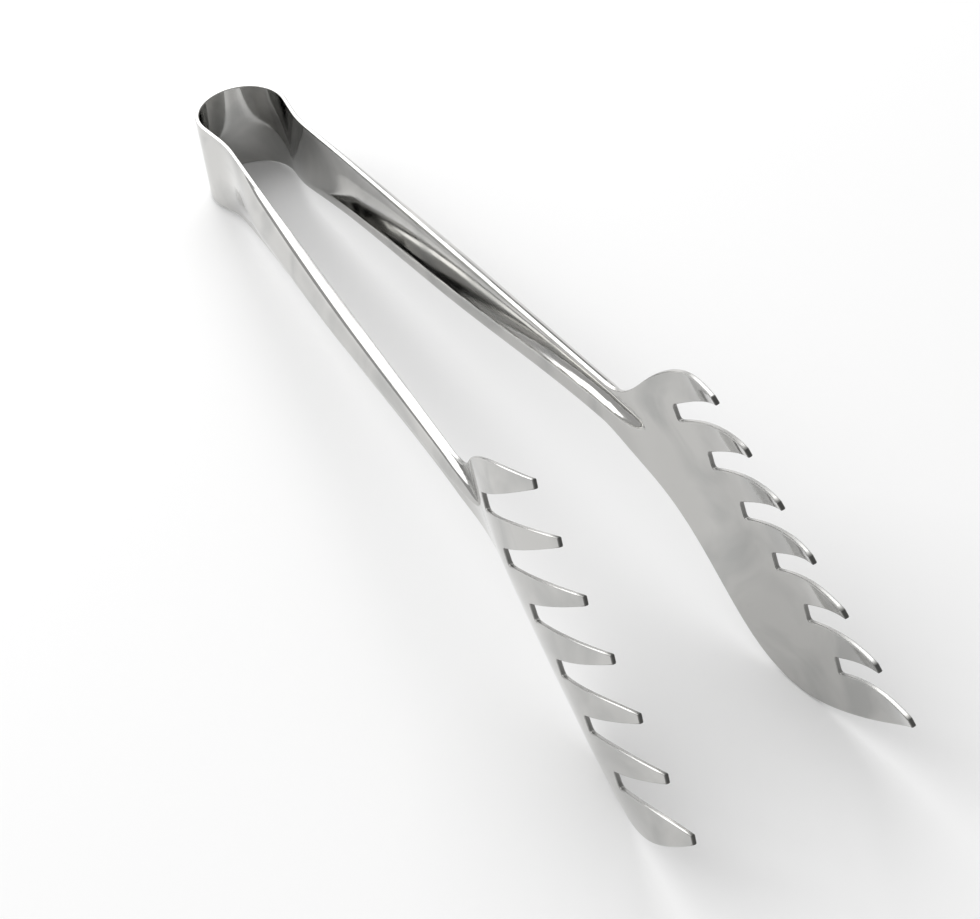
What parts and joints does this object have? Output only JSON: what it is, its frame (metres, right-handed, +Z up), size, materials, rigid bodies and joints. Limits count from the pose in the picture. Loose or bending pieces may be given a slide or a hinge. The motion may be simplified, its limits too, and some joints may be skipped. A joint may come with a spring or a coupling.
{
  "type": "pasta tongs",
  "caption": "Spring tongs for pasta: a polished steel strip bent to an open bow, two channelled arms, and cupped comb heads with raked teeth.",
  "frame": {"origin": "centre of the footprint, on the surface that the tongs lie on", "axes": "+Z up, +Y towards the bow, X across the jaw; X = 0 is the mirror plane between the arms"},
  "size_m": [0.0504, 0.2368, 0.0562],
  "materials": {
    "polished_steel": "mirror polished, with fine drawing lines along the arms"
  },
  "bodies": {
    "bow": {"spring_bow": "polished_steel"},
    "left_jaw": {"left_arm": "polished_steel", "left_comb_head": "polished_steel"},
    "right_jaw": {"right_arm": "polished_steel", "right_comb_head": "polished_steel"}
  },
  "joints": [
    {"name": "left_arm_flex", "type": "hinge", "parent": "bow", "child": "left_jaw", "pos_m": [-0.00819, 0.10622, 0.01164], "axis": [0, 0.0716, 0.9974], "range_deg": [-3, 5.5], "stiffness_Nm_per_rad": 10, "deforming": ["spring_bow"]},
    {"name": "right_arm_flex", "type": "hinge", "parent": "bow", "child": "right_jaw", "pos_m": [0.00819, 0.10622, 0.01164], "axis": [0, -0.0716, -0.9974], "range_deg": [-3, 5.5], "stiffness_Nm_per_rad": 10, "deforming": ["spring_bow"]}
  ],
  "couplings": [
    {"joint": "right_arm_flex", "follows": "left_arm_flex", "ratio": 1}
  ]
}
